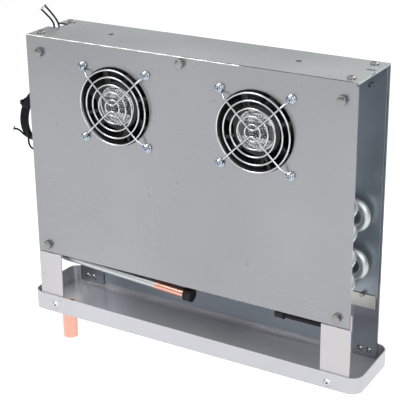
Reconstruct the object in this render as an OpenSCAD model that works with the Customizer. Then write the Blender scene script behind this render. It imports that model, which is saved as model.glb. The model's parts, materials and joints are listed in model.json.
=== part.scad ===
// Two-fan evaporator for a refrigerated counter: a slim sheet-metal casing that
// hangs from its top plate, with two 80 mm axial fans over a finned tube coil and
// a drain pan below. Millimetres. X runs along the casing, the front faces -Y and
// Z is up. The origin is on the top plate, midway between its two hanging holes.

/* [Casing] */
// Length of the casing
casing_w = 352; // [340:1:400]
// Depth of the casing, front face to rear face
casing_d = 71; // [71:1:80]
// Height of the front panel, from the top plate to its lower edge
panel_h = 231; // [228:1:260]
// Thickness of every bent sheet
sheet = 1.2; // [0.8:0.1:1.5]
// Distance from the front face back to the hanging holes
hang_setback = 39; // [36:1:41]
// Spacing of the two hanging holes
hang_pitch = 203; // [150:1:240]
// Diameter of a hanging hole
hang_hole_d = 5.5; // [4:0.5:7]

/* [Legs and drain pan] */
// Height of the air slot between the front panel and the rim of the pan
slot_h = 49; // [45:1:60]
// Width of a leg
leg_w = 28; // [24:1:32]
// How far the pan reaches past the casing at each end
pan_reach = 11.5; // [9:0.5:16]
// Height of the pan's wall at the drain end
pan_deep = 19.5; // [16:0.5:24]
// Height of the pan's wall at the dry end
pan_shallow = 16.5; // [12:0.5:20]
// Radius of the pan's corners
pan_corner = 12; // [6:1:16]
// Outer diameter of the drain stub
drain_d = 15.9; // [12:0.1:22]
// Length of the drain stub below the pan
drain_len = 36; // [30:1:60]

/* [Fans] */
// Side of a square fan frame
fan_size = 80; // [80:1:80]
// Depth of a fan frame
fan_deep = 25; // [25:1:25]
// Spacing of the fan's corner holes
fan_holes = 71.5; // [71.5:0.1:71.5]
// Distance between the two fan axes
fan_pitch = 151; // [130:1:180]
// Distance of the fan axes below the top plate
fan_drop = 58.5; // [54:0.5:60]
// Number of blades on a rotor
blades = 7; // [5:1:9]
// Diameter of a finger guard's wire
guard_wire = 1.7; // [1.4:0.1:2]

/* [Coil] */
// Outer diameter of a coil tube
tube_d = 9.5; // [8:0.5:9.5]
// Distance between tubes in a row
tube_pitch = 25; // [25:0.4:25.4]
// Distance between rows of tubes
row_pitch = 22; // [21.6:0.1:22]
// Thickness of a fin
fin_t = 0.4; // [0.3:0.1:0.6]
// Distance between fins
fin_gap = 8; // [6:1:12]

/* [Hidden] */
$fn = 48;

// Main planes of the casing
half_w = casing_w / 2;
front_y = -hang_setback;
rear_y = front_y + casing_d;
in_front = front_y + sheet;
in_rear = rear_y - sheet;
panel_bottom = -panel_h;
rim_z = panel_bottom - slot_h;
web_x = half_w - leg_w - sheet;

// Fans
fan_xs = [3 - fan_pitch / 2, 3 + fan_pitch / 2];
fan_z = -fan_drop;
opening_r = 39;
hub_r = 23.5;
ring_r = [7.9, 15.5, 22.7, 30, 37];

// Coil: its rows from the front to the rear and the heights of the tubes in each
tube_r = tube_d / 2;
bend_r = tube_pitch / 2;
row_y = [front_y + 14, front_y + 14 + row_pitch, front_y + 14 + 2 * row_pitch];
top_tube_z = -108;
front_zs = [for (i = [0:4]) top_tube_z - i * tube_pitch];
mid_zs = [for (i = [0:3]) top_tube_z - (i + 0.5) * tube_pitch];
rear_zs = [for (i = [1:4]) top_tube_z - i * tube_pitch];
fins_top = -100;
fins_bottom = -220;
tube_end = web_x + 4;
tube_wall = 0.6;

// Suction and liquid lines
suction_r = 5;
suction_cap_r = 7;
liquid_r = 3.175;
liquid_y = in_front + sheet + 0.3 + liquid_r;
liquid_z = -236;

// Leads
lead_d = 2;

// ---- shared shapes ---------------------------------------------------------

// A rectangle with round corners, from true arcs
module round_rect(w, d, r) {
    for (s = [-1, 1], t = [-1, 1])
        translate([s * (w / 2 - r), t * (d / 2 - r)]) circle(r);
    square([w - 2 * r, d], center = true);
    square([w, d - 2 * r], center = true);
}

// A bar or hole along +Y that starts at y
module along_y(x, y, z, r, len) {
    translate([x, y, z]) rotate([-90, 0, 0]) cylinder(r = r, h = len);
}

// A plate standing in the XZ plane, given by its corners
module wall_xz(x0, x1, y, z0, z1, t = sheet) {
    translate([x0, y, z0]) cube([x1 - x0, t, z1 - z0]);
}

// A screw with its axis along -Z and its head on z = 0
module pan_screw(r, len, head_r, head_h) {
    translate([0, 0, -len]) cylinder(r = r, h = len + 0.1);
    difference() {
        union() {
            cylinder(r = head_r, h = head_h * 0.55);
            translate([0, 0, head_h * 0.55])
                cylinder(r1 = head_r, r2 = head_r * 0.62, h = head_h * 0.45, $fn = 48);
        }
        for (a = [0, 90]) rotate(a)
            translate([-head_r * 0.55, -0.4, head_h * 0.5]) cube([head_r * 1.1, 0.8, head_h]);
    }
}

// A hexagon-headed screw of the same kind
module hex_screw(r, len, flats, head_h) {
    translate([0, 0, -len]) cylinder(r = r, h = len + 0.1);
    intersection() {
        cylinder(r = flats / sqrt(3), h = head_h, $fn = 6);
        cylinder(r1 = flats / sqrt(3) + 2 * head_h, r2 = flats / 2 - 0.3, h = head_h + 0.01);
    }
}

// A blind rivet: domed head on z = 0 and its body below
module rivet(r, len, head_r, head_h) {
    difference() {
        union() {
            translate([0, 0, -len]) cylinder(r = r, h = len + 0.1);
            cylinder(r1 = head_r, r2 = head_r * 0.7, h = head_h, $fn = 48);
        }
        translate([0, 0, head_h - 4]) cylinder(r = r * 0.68, h = 5);
    }
}

// A tube laid piece by piece: each piece ends where its children start
module run(r, len, wall) {
    linear_extrude(len) difference() { circle(r); if (wall > 0) circle(r - wall); }
    translate([0, 0, len]) children();
}
module elbow(r, bend, angle, wall) {
    translate([bend, 0, 0]) mirror([1, 0, 0]) rotate([90, 0, 0])
        rotate_extrude(angle = angle) translate([bend, 0])
            difference() { circle(r); if (wall > 0) circle(r - wall); }
    translate([bend * (1 - cos(angle)), 0, bend * sin(angle)]) rotate([0, angle, 0]) children();
}

// A free lead swept through its own route points, eight-sided
function unit(v) = v / norm(v);
function along(p, i) = unit(p[min(i + 1, len(p) - 1)] - p[max(i - 1, 0)]);
function side_of(t) = unit(cross(t, abs(t[1]) > 0.8 ? [1, 0, 0] : [0, 1, 0]));
function carried(p, i) = i == 0 ? side_of(along(p, 0))
    : let (t = along(p, i), s = carried(p, i - 1)) unit(s - (s * t) * t);
module swept(p, d, sides = 8) {
    n = len(p);
    points = [for (i = [0:n - 1]) let (t = along(p, i), s = carried(p, i), u = cross(t, s))
        for (k = [0:sides - 1]) p[i] + d / 2 * (cos(k * 360 / sides) * s + sin(k * 360 / sides) * u)];
    skin = [for (i = [0:n - 2], k = [0:sides - 1]) let (m = (k + 1) % sides)
        [i * sides + k, (i + 1) * sides + k, (i + 1) * sides + m, i * sides + m]];
    first = [[for (k = [0:sides - 1]) k]];
    last = [[for (k = [sides - 1:-1:0]) (n - 1) * sides + k]];
    polyhedron(points, concat(skin, first, last));
}

// Stands its children so that +Z leads towards one direction and +X towards another
module lead_off(at, ahead, turn) {
    z = unit(ahead); x = unit(turn - (turn * z) * z); y = cross(z, x);
    multmatrix([[x[0], y[0], z[0], at[0]], [x[1], y[1], z[1], at[1]], [x[2], y[2], z[2], at[2]]])
        children();
}

// A round rod from one point to another
module rod(a, b, r) {
    d = b - a;
    lead_off(a, d, abs(unit(d)[2]) > 0.9 ? [1, 0, 0] : [0, 0, 1]) cylinder(r = r, h = norm(d));
}

// Half a turn of tube from the place p to the place q, both [y, z], on plane x
module u_bend(p, q, x, toward) {
    d = [0, q[0] - p[0], q[1] - p[1]];
    lead_off([x, p[0], p[1]], [toward, 0, 0], d) elbow(tube_r, norm(d) / 2, 180, tube_wall);
}

// The place of a tube in the front, middle or rear row, as [y, z]
function front_at(i) = [row_y[0], front_zs[i]];
function mid_at(i) = [row_y[1], mid_zs[i - 1]];
function rear_at(i) = [row_y[2], rear_zs[i - 1]];
tube_places = concat([for (i = [0:4]) front_at(i)], [for (i = [1:4]) mid_at(i)],
    [for (i = [1:4]) rear_at(i)]);

// A hole for every tube through a sheet that stands at x
module tube_holes(x, t, r) {
    for (p = tube_places) translate([x - 1, p[0], p[1]]) rotate([0, 90, 0]) cylinder(r = r, h = t + 2);
}

// ---- sheet metal -----------------------------------------------------------

top_screws_at = [for (s = [-1, 1], y = [-28.5, 21.5]) [s * 165, y]];
panel_screws_at = [[-160, -16], [1.5, -6], [162.5, -16.5], [163.3, -222.7], [-163.4, -222.7]];
rear_screws_at = [for (s = [-1, 1], z = [-20.5, -228]) [s * 160.5, z]];
guard_screws_at = [for (x = fan_xs, s = [-1, 1], t = [-1, 1])
    [x + s * fan_holes / 2, fan_z + t * fan_holes / 2]];

// Top plate: hanging holes, wire notch, slot and turned-down front and rear edges
module top_plate() {
    color([0.68, 0.70, 0.70]) difference() {
        union() {
            translate([-half_w, in_front, -sheet]) cube([casing_w, casing_d - 2 * sheet, sheet]);
            wall_xz(-half_w + 2, half_w - 2, in_front, -12, -sheet / 2);
            for (s = [-1, 1]) wall_xz(s > 0 ? 126 : -half_w + 2, s > 0 ? half_w - 2 : -126,
                in_front, -22, -sheet / 2);
            wall_xz(-half_w + 2, half_w - 2, in_rear - sheet, -26, -sheet / 2);
        }
        for (s = [-1, 1]) translate([s * hang_pitch / 2, 0, -3]) cylinder(d = hang_hole_d, h = 5);
        for (p = top_screws_at) translate([p[0], p[1], -3]) cylinder(r = 2.05, h = 5);
        for (p = panel_screws_at) along_y(p[0], in_front - 1, p[1], 2.05, 4);
        for (p = rear_screws_at) along_y(p[0], in_rear - 3, p[1], 2.05, 5);
        translate([-half_w - 1, -5, -3]) cube([14, 20, 5]);
        translate([164.5, 2, -3]) cube([9, 4, 5]);
        translate([half_w - 1.5, -13, -3]) cube([5, 10.5, 5]);
    }
}

// Front panel: a flat sheet with the two fan openings
module fan_panel() {
    color([0.66, 0.67, 0.69]) difference() {
        wall_xz(-half_w, half_w, front_y, panel_bottom, 0);
        for (x = fan_xs) along_y(x, front_y - 1, fan_z, opening_r, 4);
        for (p = guard_screws_at) along_y(p[0], front_y - 1, p[1], 1.85, 4);
        for (p = panel_screws_at) along_y(p[0], front_y - 1, p[1], 2.05, 4);
        translate([half_w - 1.6, front_y - 1, -3]) cube([5, 4, 5]);
    }
}

// Rear panel: closes the back down into the pan
module rear_panel() {
    color([0.46, 0.50, 0.55]) difference() {
        wall_xz(-half_w, half_w, in_rear, rim_z - 12, 0);
        for (p = rear_screws_at) along_y(p[0], in_rear - 1, p[1], 2.05, 4);
        for (x = rear_rivets) along_y(x, in_rear - 1, rear_rivet_z, 1.65, 4);
    }
}

// Side plates carry the coil and hold the panels and the top plate together
module side_plate(s) {
    color([0.60, 0.64, 0.68]) difference() {
        union() {
            translate([s > 0 ? web_x : -web_x - sheet, in_front + sheet, -227])
                cube([sheet, casing_d - 4 * sheet, 227 - sheet]);
            translate([s > 0 ? web_x : -half_w + 1, in_front + sheet, -2 * sheet])
                cube([leg_w + sheet - 1, casing_d - 4 * sheet, sheet]);
            translate([s > 0 ? web_x : -web_x - sheet - 12, in_front + sheet, -227])
                cube([12 + sheet, sheet, 227 - sheet]);
            translate([s > 0 ? web_x : -half_w + 1.5, in_rear - 2 * sheet, -231])
                cube([leg_w + sheet - 1.5, sheet, 231 - sheet]);
        }
        tube_holes(s > 0 ? web_x : -web_x - sheet, sheet, tube_r + 0.15);
        for (p = panel_screws_at) along_y(p[0], in_front, p[1], 2.05, 4);
        for (p = top_screws_at) translate([p[0], p[1], -4]) cylinder(r = 2.05, h = 5);
        for (p = rear_screws_at) along_y(p[0], in_rear - 4, p[1], 2.05, 6);
        translate([s > 0 ? 164.5 : -half_w - 1, s > 0 ? 2 : -7, -4])
            cube([s > 0 ? 9 : 17, s > 0 ? 4 : 24, 5]);
        if (s < 0) {
            translate([-web_x - 3, 5, -13]) rotate([0, 90, 0]) cylinder(r = 4, h = 6);
            translate([-web_x - 3, clip_y, clip_z]) rotate([0, 90, 0]) cylinder(r = 2.6, h = 6);
        }
    }
}
module side_plate_left() { side_plate(-1); }
module side_plate_right() { side_plate(1); }

// Front legs: joggled strips from behind the panel into the pan
leg_top = -215.5;
leg_step = panel_bottom - 1;
leg_front_y = front_y - 0.5;
front_rivet_z = rim_z - 10.5;
module leg_front(s) {
    x0 = s > 0 ? half_w - leg_w : -half_w;
    x1 = s > 0 ? half_w + 1.5 : -half_w + leg_w;
    color([0.80, 0.78, 0.79]) difference() {
        union() {
            wall_xz(x0, s > 0 ? half_w - 0.4 : x1, in_front, leg_step - sheet, leg_top);
            if (s > 0) wall_xz(half_w - 1, x1, in_front, leg_step - sheet, -218);
            translate([x0, leg_front_y, leg_step - sheet])
                cube([x1 - x0, in_front + sheet - leg_front_y, sheet]);
            wall_xz(x0, x1, leg_front_y, rim_z - 15, leg_step);
        }
        for (p = panel_screws_at) along_y(p[0], in_front - 1, p[1], 2.05, 4);
        along_y(front_rivets[s > 0 ? 1 : 0], leg_front_y - 1, front_rivet_z, 1.65, 4);
    }
}
module leg_front_left() { leg_front(-1); }
module leg_front_right() { leg_front(1); }
front_rivets = [-157.5, 156.5];

// Rear legs: flat strips behind the side plates, down into the pan
rear_rivets = [-166, -158, 158, 167];
rear_rivet_z = rim_z - 8.5;
module leg_rear(s) {
    color([0.72, 0.74, 0.77]) difference() {
        wall_xz(s > 0 ? half_w - 25 : -half_w, s > 0 ? half_w : -half_w + 31, in_rear - sheet,
            rim_z - 15, leg_top);
        for (p = rear_screws_at) along_y(p[0], in_rear - 3, p[1], 2.05, 4);
        for (x = rear_rivets) along_y(x, in_rear - 3, rear_rivet_z, 1.65, 4);
        if (s < 0) translate([-half_w + 9.5, in_rear - 3, rim_z - 16]) cube([2, 5, 3]);
    }
}
module leg_rear_left() { leg_rear(-1); }
module leg_rear_right() { leg_rear(1); }

// Rails under the coil, one behind it and one in front
module coil_rail_rear() {
    color([0.82, 0.83, 0.85]) difference() {
        wall_xz(-half_w + 3, half_w - 3, in_rear - 3 * sheet, -242, -227.8);
        for (p = rear_screws_at) along_y(p[0], in_rear - 5, p[1], 2.05, 6);
    }
}
module coil_rail_front() {
    color([0.60, 0.64, 0.68]) wall_xz(-web_x, web_x, in_front, panel_bottom + 1, panel_bottom + 10);
}

// ---- coil ------------------------------------------------------------------

// Fins on collars round four of the tubes
module coil_fins() {
    n = floor((2 * web_x - 6) / fin_gap);
    hole_r = tube_r + 0.03;
    color([0.74, 0.76, 0.79]) union() {
        for (i = [0:n]) translate([-n * fin_gap / 2 + i * fin_gap - fin_t / 2, 0, 0])
            multmatrix([[0, 0, 1, 0], [1, 0, 0, 0], [0, 1, 0, 0]]) linear_extrude(fin_t) difference() {
                translate([row_y[0] - 10.4, fins_bottom]) square([row_y[2] - row_y[0] + 19.5,
                    fins_top - fins_bottom]);
                for (p = tube_places) translate(p) circle(hole_r);
            }
        for (p = [front_at(0), front_at(4), rear_at(1), rear_at(4)])
            multmatrix([[0, 0, 1, -n * fin_gap / 2], [1, 0, 0, 0], [0, 1, 0, 0]])
                translate(p) linear_extrude(n * fin_gap) difference() {
                    circle(hole_r + 0.5); circle(hole_r);
                }
    }
}

// A straight tube from x0 to x1 at one place
module straight(p, x0, x1) {
    translate([x0, p[0], p[1]]) rotate([0, 90, 0]) run(tube_r, x1 - x0, tube_wall);
}
module coil_tubes() {
    color([0.80, 0.81, 0.83]) for (i = [1:len(tube_places) - 1])
        straight(tube_places[i], -tube_end, tube_end);
}
module hairpin_bends() {
    color([0.80, 0.81, 0.83]) {
        for (i = [1:4]) u_bend(front_at(i), mid_at(i), tube_end, 1);
        for (i = [1, 3]) u_bend(rear_at(i), rear_at(i + 1), tube_end, 1);
    }
}
module coil_first_tube() {
    color([0.80, 0.81, 0.83]) straight(front_at(0), -tube_end, tube_end);
}
module return_bends() {
    color([0.80, 0.81, 0.83]) {
        u_bend(front_at(0), front_at(1), -tube_end, -1);
        u_bend(mid_at(1), rear_at(1), -tube_end, -1);
        u_bend(rear_at(2), mid_at(2), -tube_end, -1);
        u_bend(front_at(2), mid_at(3), -tube_end, -1);
        u_bend(rear_at(4), mid_at(4), -tube_end, -1);
        lead_off([-tube_end, row_y[0], front_zs[3]], [-1, 0, 0], [0, 1, 0])
            elbow(tube_r, bend_r, 90, tube_wall)
            run(tube_r, row_y[2] - row_y[0] - 2 * bend_r, tube_wall)
            elbow(tube_r, bend_r, 90, tube_wall);
    }
}

// Suction line: back under the coil, falling a little, with a rubber cap on it
suction_bend = 15.25;
suction_turn = 177;
suction_run = 112;
stub_len = 34;
groove = 0.3;
groove_w = 1;
module on_suction() {
    lead_off([-tube_end, row_y[0], front_zs[4]], [-1, 0, 0], [0, 0, -1])
        translate([suction_bend * (1 - cos(suction_turn)), 0, suction_bend * sin(suction_turn)])
        rotate([0, suction_turn, 0]) children();
}
module suction_tube() {
    color([0.80, 0.81, 0.83]) lead_off([-tube_end, row_y[0], front_zs[4]], [-1, 0, 0], [0, 0, -1])
        elbow(tube_r, suction_bend, suction_turn, tube_wall) run(tube_r, suction_run, tube_wall);
}
module suction_stub() {
    color([0.78, 0.47, 0.32]) on_suction() translate([0, 0, suction_run])
        run(suction_r, stub_len - 1, 0.8) run(suction_r - groove, groove_w, 0.8 - groove)
        run(suction_r, 6, 0.8);
}
module suction_cap() {
    color([0.06, 0.06, 0.06]) on_suction() translate([0, 0, suction_run + stub_len]) difference() {
        union() {
            cylinder(r = suction_cap_r - 0.3, h = 8.5);
            cylinder(r = suction_cap_r, h = 1.5);
        }
        translate([0, 0, -1]) cylinder(r = suction_r + 0.03, h = 7.5);
    }
}

// Liquid line: small copper tube from the first coil tube down to the front edge
riser_x = 170;
riser_bend = 10;
riser_lean = 30;
liquid_end = 100.5;
spigot_base = 138;
riser_shift = row_y[0] - liquid_y;
lean_run = (riser_shift - riser_bend * sin(riser_lean) - riser_bend * (1 - cos(riser_lean)))
    / sin(riser_lean);
riser_top = top_tube_z - riser_bend * cos(riser_lean) - lean_run * cos(riser_lean)
    - riser_bend * sin(riser_lean);
module liquid_tube() {
    color([0.70, 0.42, 0.29])
        lead_off([tube_end, row_y[0], top_tube_z], [1, 0, 0],
            [0, -sin(riser_lean), -cos(riser_lean)])
        run(liquid_r, riser_x - tube_end - riser_bend, 0.7)
        elbow(liquid_r, riser_bend, 90, 0.7)
        run(liquid_r, lean_run, 0.7)
        rotate([0, 0, 90]) elbow(liquid_r, riser_bend, riser_lean, 0.7)
        run(liquid_r, riser_top - liquid_z - riser_bend, 0.7)
        rotate([0, 0, -90]) elbow(liquid_r, riser_bend, 90, 0.7)
        run(liquid_r, riser_x - riser_bend - spigot_base, 0.7)
        run(liquid_r - groove, groove_w, 0.7 - groove)
        run(liquid_r, spigot_base - liquid_end - 2 * groove_w - 8, 0.7)
        run(liquid_r - groove, groove_w, 0.7 - groove)
        run(liquid_r, 8, 0.7);
}
module liquid_cap() {
    color([0.06, 0.06, 0.06]) translate([liquid_end + 7.5, liquid_y, liquid_z]) rotate([0, -90, 0])
        difference() {
            union() { cylinder(r = 4.3, h = 9); cylinder(r = 4.7, h = 1.5); }
            translate([0, 0, -1]) cylinder(r = liquid_r + 0.03, h = 8.6);
        }
}

// ---- drain pan -------------------------------------------------------------

pan_front = front_y - 2;
pan_rear = rear_y + sheet;
pan_mid_y = (pan_front + pan_rear) / 2;
pan_half = half_w + pan_reach;
pan_fall = atan((pan_deep - pan_shallow) / (2 * pan_half));
drain_x = -156;
drain_y = -19.5;
floor_low = rim_z - pan_deep + sheet;
function floor_at(x) = floor_low + (x + pan_half) * tan(pan_fall);
module pan_block(inset, up) {
    intersection() {
        translate([0, pan_mid_y, rim_z - 40]) linear_extrude(40 + up)
            round_rect(2 * pan_half - 2 * inset, pan_rear - pan_front - 2 * inset,
                pan_corner - inset);
        translate([-pan_half, -100, rim_z - pan_deep + inset]) rotate([0, -pan_fall, 0])
            translate([-20, 0, 0]) cube([500, 200, 60]);
    }
}
module drain_pan() {
    color([0.85, 0.84, 0.87]) difference() {
        pan_block(0, 0);
        pan_block(sheet, 1);
        for (x = front_rivets) along_y(x, pan_front - 1, front_rivet_z, 1.65, 4);
        for (x = rear_rivets) along_y(x, pan_rear - 3, rear_rivet_z, 1.65, 5);
        translate([drain_x, drain_y, rim_z - 30]) cylinder(r = nipple_r + 0.05, h = 28);
    }
}
nipple_r = 6.9;
stub_top = rim_z - pan_deep - 0.05;
module drain_stub() {
    color([0.88, 0.62, 0.50]) translate([drain_x, drain_y, stub_top - drain_len])
        run(drain_d / 2, drain_len, drain_d / 2 - nipple_r - 0.05);
}
// Flanged nipple through the pan's floor, with the stub fixed on it from below
module drain_collar() {
    color([0.80, 0.60, 0.42]) translate([drain_x, drain_y, 0]) difference() {
        union() {
            translate([0, 0, stub_top - 8]) cylinder(r = nipple_r, h = 12);
            translate([0, 0, floor_at(drain_x + 9.5)]) cylinder(r = 9.5, h = 1.5);
        }
        translate([0, 0, stub_top - 9]) cylinder(r = nipple_r - 1, h = 20);
    }
}

// ---- fans ------------------------------------------------------------------

// Each fan is drawn about its own axis with +Z to the front, then hung in place
module at_fan(i) {
    translate([fan_xs[i], in_front, fan_z]) rotate([90, 0, 0]) children();
}
module fan_frame() {
    color([0.12, 0.12, 0.13]) difference() {
        union() {
            for (z = [-fan_deep, -4]) translate([0, 0, z]) linear_extrude(4)
                round_rect(fan_size, fan_size, 4);
            translate([0, 0, -fan_deep]) cylinder(r = 39.6, h = fan_deep);
        }
        difference() {
            translate([0, 0, -fan_deep - 1]) cylinder(r = 38, h = fan_deep + 2);
            translate([0, 0, -5]) cylinder(r = hub_r, h = 3);
            for (a = [0:3]) rotate(a * 90 + 20) translate([15, -1.5, -5]) cube([24, 3, 2.6]);
        }
        for (s = [-1, 1], t = [-1, 1]) translate([s * fan_holes / 2, t * fan_holes / 2, -fan_deep - 1])
            cylinder(r = 1.85, h = fan_deep + 2);
        translate([0, 0, -6]) cylinder(r = 3.5, h = 3);
    }
}
// Bearing tube and winding behind the base, inside the rotor's cup
module fan_stator() {
    color([0.55, 0.42, 0.25]) difference() {
        union() {
            translate([0, 0, -21]) cylinder(r = 3.4, h = 17.5);
            translate([0, 0, -18]) cylinder(r = 18, h = 12.5);
        }
        translate([0, 0, -22]) cylinder(r = 1.55, h = 18);
    }
}
module fan_rotor() {
    color([0.05, 0.05, 0.05]) union() {
        difference() {
            translate([0, 0, -24]) cylinder(r = 22.5, h = 17.5);
            translate([0, 0, -22.5]) cylinder(r = 21, h = 18);
        }
        translate([0, 0, -23]) cylinder(r = 1.5, h = 18.5);
        intersection() {
            difference() {
                translate([0, 0, -23]) cylinder(r = 37.2, h = 16);
                translate([0, 0, -24]) cylinder(r = 21.8, h = 18);
            }
            union() for (i = [0:blades - 1]) rotate(i * 360 / blades)
                translate([20, 0, -15]) rotate([38, 0, 0]) translate([0, -16, -0.8])
                    cube([20, 32, 1.6]);
        }
    }
}
module fan_label() {
    color([0.78, 0.78, 0.76]) translate([0, 0, -2]) cylinder(r = 19.5, h = 0.3);
}
module fan_frame_left() { at_fan(0) fan_frame(); }
module fan_frame_right() { at_fan(1) fan_frame(); }
module fan_stator_left() { at_fan(0) fan_stator(); }
module fan_stator_right() { at_fan(1) fan_stator(); }
module fan_rotor_left() { at_fan(0) fan_rotor(); }
module fan_rotor_right() { at_fan(1) fan_rotor(); }
module fan_label_left() { at_fan(0) fan_label(); }
module fan_label_right() { at_fan(1) fan_label(); }

// Finger guard: five rings held by two bent wires that end in eyelets
eye = fan_holes / 2;
eye_z = sheet + guard_wire / 2;
ring_z = sheet + 4.9;
spoke_z = ring_z + guard_wire * 0.85;
module guard_spoke(s) {
    r = guard_wire / 2;
    knee = 27.2;
    for (m = [-1, 1]) {
        rod([m * (eye - 3.1), s * (eye - 3.1), eye_z], [m * knee, s * knee, spoke_z], r);
        rod([m * (knee + 0.3), s * (knee + 0.3), spoke_z], [m * 3, s * 3.6, spoke_z], r);
        translate([m * eye, s * eye, sheet]) difference() {
            cylinder(r = 4.9, h = guard_wire);
            translate([0, 0, -1]) cylinder(r = 2.5, h = 4);
        }
    }
    rod([-3.6, s * 3.6, spoke_z], [3.6, s * 3.6, spoke_z], r);
}
module finger_guard() {
    color([0.82, 0.83, 0.84]) union() {
        for (r = ring_r) translate([0, 0, ring_z]) rotate_extrude() translate([r, 0])
            circle(guard_wire / 2);
        for (s = [-1, 1]) guard_spoke(s);
    }
}
module finger_guard_left() { at_fan(0) finger_guard(); }
module finger_guard_right() { at_fan(1) finger_guard(); }

// ---- fasteners -------------------------------------------------------------

// Stands a fastener on a wall, head towards -Y or +Y
module facing(x, y, z, s) { translate([x, y, z]) rotate([s < 0 ? 90 : -90, 0, 0]) children(); }
module guard_screws() {
    color([0.82, 0.83, 0.84]) for (p = guard_screws_at)
        facing(p[0], front_y - guard_wire, p[1], -1) pan_screw(1.75, 15, 3.9, 2.6);
}
module panel_screws() {
    color([0.74, 0.74, 0.72]) for (p = panel_screws_at)
        facing(p[0], front_y, p[1], -1) hex_screw(2, 8, 8, 4);
}
module top_screws() {
    color([0.80, 0.80, 0.78]) for (p = top_screws_at)
        translate([p[0], p[1], 0]) pan_screw(2, 8, 4, 2.4);
}
module rear_screws() {
    color([0.74, 0.74, 0.72]) for (p = rear_screws_at)
        facing(p[0], rear_y, p[1], 1) hex_screw(2, 9, 8, 4);
}
module pan_rivets() {
    color([0.86, 0.86, 0.86]) for (x = front_rivets)
        facing(x, pan_front, front_rivet_z, -1) rivet(1.6, 4.5, 3.8, 1.3);
}
module rear_leg_rivets() {
    color([0.86, 0.86, 0.86]) for (x = rear_rivets)
        facing(x, in_rear - sheet, rear_rivet_z, -1) rivet(1.6, 4.5, 3.2, 1.1);
}

// ---- leads -----------------------------------------------------------------

// Rubber edging in the notch where the fan lead leaves
module lead_grommet() {
    color([0.10, 0.10, 0.10]) translate([-half_w, -5, -sheet]) difference() {
        cube([13, 20, sheet]);
        translate([-1, 1.4, -1]) cube([12.6, 17.2, 4]);
    }
}
front_route = [[-171.4, 1, -16], [-171.4, 1, -8], [-171.6, 1, -1], [-173, 1.2, 3.5], [-176.5, 1.6, 7],
    [-181, 2.2, 10], [-185, 2.7, 12.5], [-188.5, 3, 15]];
rear_route = [[-166.8, 3, -16], [-166.8, 3, -8], [-167, 3, -1], [-168.6, 3, 4], [-172, 3, 8.5],
    [-176, 3, 12.5], [-180, 3, 16], [-183.6, 3, 19]];
module fan_lead_front() { color([0.05, 0.05, 0.05]) swept(front_route, lead_d); }
module fan_lead_rear() { color([0.05, 0.05, 0.05]) swept(rear_route, lead_d); }
module fan_lead_plug() {
    color([0.94, 0.94, 0.92]) translate([-188.2, 3, 18.4]) rotate([0, 45, 0])
        translate([-4.5, -3, -4.2]) union() {
            cube([7.2, 6, 10.5]);
            translate([7, 1.5, 3]) cube([1.2, 3, 5]);
        }
}
// The two fan leads under the top plate, out through the left side plate
module fan_wiring() {
    color([0.05, 0.05, 0.05]) {
        swept([[48, -12.7, -30], [48, -10, -29], [45, -7, -24], [35, -4, -18], [20, 0, -14],
            [-40, 3, -13], [-130, 5, -13], [-152, 5, -13], [-162, 4, -15], [-166.8, 3, -17.2]], lead_d);
        swept([[-103, -12.7, -30], [-103, -10, -29], [-105, -7, -24], [-112, -4, -18],
            [-130, 2, -14], [-152, 3, -13.6], [-164, 1.2, -16], [-171, 1, -18]], lead_d);
    }
}

// Sensor lead: a clip in the left side plate, a loop, a tied coil and a free end
clip_y = -14;
clip_z = -118;
coil_at = [-192.5, -6, -94.5];
coil_r = 25.5;
coil_fat = 4.8;
tie_at = coil_at + coil_r * [0, -0.72, 0.69];
hook_z = -86;
module probe_clip() {
    color([0.90, 0.90, 0.88]) translate([-web_x, clip_y, clip_z]) rotate([0, -90, 0]) difference() {
        union() {
            translate([0, 0, -1.4]) cylinder(r = 2.5, h = 4);
            translate([0, 0, sheet]) cylinder(r = 4, h = 1.6);
            translate([0, 0, -1.4]) cylinder(r = 3.4, h = 1.4);
        }
        translate([0, 0, -3]) cylinder(r = lead_d / 2 + 0.1, h = 10);
    }
}
probe_route = [[-144, -14, -118], [-152, -14, -118], [-162, -14.3, -119], [-172, -15.5, -122],
    [-180, -18, -126], [-186, -21.5, -127.5], [-189.4, -25.5, -124.6], [-190, -28.2, -118.5],
    [-189.2, -29.2, -111.5]];
module probe_lead() { color([0.05, 0.05, 0.05]) swept(probe_route, lead_d); }
module probe_lead_coil() {
    color([0.05, 0.05, 0.05]) translate(coil_at) rotate([0, 90, 0]) rotate_extrude()
        translate([coil_r, 0]) circle(coil_fat);
}
module probe_lead_end() {
    color([0.05, 0.05, 0.05]) swept([[-195.2, -27.4, -111.4], [-196, -30.2, -108],
        [-197, -33, -104.8], [-198.8, -34.9, -102.9], [-200.8, -35.6, -102.9],
        [-202.6, -35.7, -102.4]], lead_d);
}
module probe_plug() {
    color([0.93, 0.93, 0.90]) lead_off([-202, -35.6, -102.5], [-8, -0.2, 2.5], [0, 1, 0])
        translate([-2, -3, 0]) cube([4, 6, 8]);
}
// Tie round the coil, and the strap that hooks it to the side plate's front edge
module coil_tie() {
    color([0.08, 0.08, 0.08]) union() {
        translate(tie_at) rotate([-46, 0, 0]) rotate([90, 0, 0]) rotate_extrude()
            translate([coil_fat + 0.2, -1.2]) square([1, 2.4]);
        translate(tie_at + [-7, -2.2, -2.1]) cube([2.4, 4, 4.4]);
    }
}
module tie_strap() {
    color([0.08, 0.08, 0.08]) swept([[-187.1, -24.2, -76.6], [-182.5, -28.4, -79.4],
        [-175, -31.8, -83.4], [-166, -33.6, hook_z], [-158, -34.4, hook_z],
        [-155, -35.2, hook_z]], 1.8);
}

// ---- what is drawn ---------------------------------------------------------

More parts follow.
